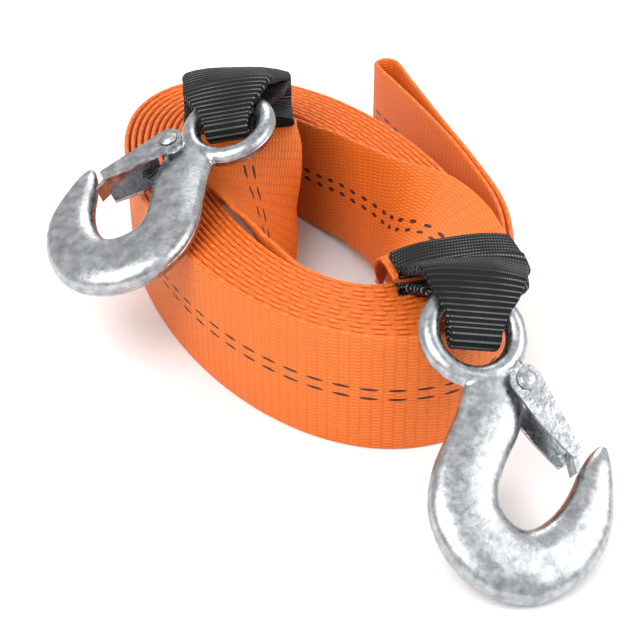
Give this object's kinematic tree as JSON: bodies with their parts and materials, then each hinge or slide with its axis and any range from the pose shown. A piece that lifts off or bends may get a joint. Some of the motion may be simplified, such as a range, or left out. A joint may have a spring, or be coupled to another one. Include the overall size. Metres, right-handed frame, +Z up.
{
  "type": "tow strap",
  "caption": "Webbing tow strap wound into an oval coil on its edges, with a forged slip hook and spring latch in a black sewn loop at each end.",
  "frame": {"origin": "middle of the underside of the whole part, at the floor", "axes": "+Z up, +Y from the hooks' side towards the folded tail, +X towards the right-hand hook"},
  "size_m": [0.2012, 0.313, 0.0907],
  "materials": {
    "webbing": "woven polyester webbing, matte",
    "sleeve": "woven sleeve, matte",
    "zinc": "forged steel, zinc plated",
    "pressed": "pressed sheet steel, zinc plated",
    "wire": "spring steel wire"
  },
  "bodies": {
    "strap": {"strap_webbing": "webbing", "sleeve_right": "sleeve", "sleeve_left": "sleeve"},
    "hook_right": {"hook_right": "zinc", "latch_rivet_right": "zinc", "latch_spring_right": "wire"},
    "latch_right": {"latch_right": "pressed"},
    "hook_left": {"hook_left": "zinc", "latch_rivet_left": "zinc", "latch_spring_left": "wire"},
    "latch_left": {"latch_left": "pressed"}
  },
  "joints": [
    {"name": "hook_right_swing", "type": "hinge", "parent": "strap", "child": "hook_right", "pos_m": [0.05429, -0.06692, 0.06138], "axis": [-0.9769, -0.1948, 0.0877], "range_deg": [0, 60], "deforming": ["sleeve_right"]},
    {"name": "latch_right_spring_hinge", "type": "hinge", "parent": "hook_right", "child": "latch_right", "pos_m": [0.07128, -0.0935, 0.04112], "axis": [-0.1789, 0.5217, -0.8342], "range_deg": [0, 32], "stiffness_Nm_per_rad": 0.02, "springref_deg": -28.65, "deforming": ["latch_spring_right"]},
    {"name": "hook_left_swing", "type": "hinge", "parent": "strap", "child": "hook_left", "pos_m": [-0.02313, 0.0412, 0.08045], "axis": [-0.7923, 0.6101, 0], "range_deg": [0, 60], "deforming": ["sleeve_left"]},
    {"name": "latch_left_spring_hinge", "type": "hinge", "parent": "hook_left", "child": "latch_left", "pos_m": [-0.05362, 0.02325, 0.06803], "axis": [-0.2158, -0.2802, 0.9354], "range_deg": [0, 32], "stiffness_Nm_per_rad": 0.02, "springref_deg": -28.65, "deforming": ["latch_spring_left"]}
  ]
}
